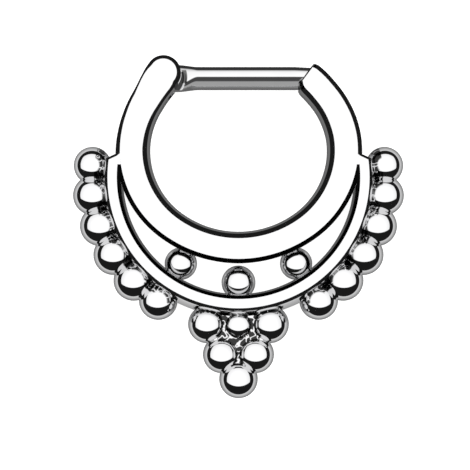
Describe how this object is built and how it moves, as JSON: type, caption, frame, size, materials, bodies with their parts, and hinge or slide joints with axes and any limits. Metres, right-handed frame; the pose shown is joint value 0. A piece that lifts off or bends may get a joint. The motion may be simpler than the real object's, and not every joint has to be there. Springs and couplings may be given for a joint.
{
  "type": "septum ring",
  "caption": "Hinged septum ring of polished steel: a flat-faced hoop closed by a straight bar, with a beaded crescent below that ends in a triangle of beads.",
  "frame": {"origin": "centre of the outline at the flat back that the ring lies on", "axes": "+X towards the bar's free end, +Y from the beads towards the bar, +Z out of the front face"},
  "size_m": [0.0172, 0.0176, 0.0022],
  "materials": {
    "polished_steel": "mirror-polished stainless steel",
    "pin_steel": "filed stainless steel"
  },
  "bodies": {
    "frame": {"ring_frame": "polished_steel", "hinge_pin": "pin_steel"},
    "bar": {"clicker_bar": "polished_steel"}
  },
  "joints": [
    {"name": "bar_hinge", "type": "hinge", "parent": "frame", "child": "bar", "pos_m": [-0.00385, 0.00773, 0.0011], "axis": [0, 0, 1], "range_deg": [0, 100]}
  ]
}
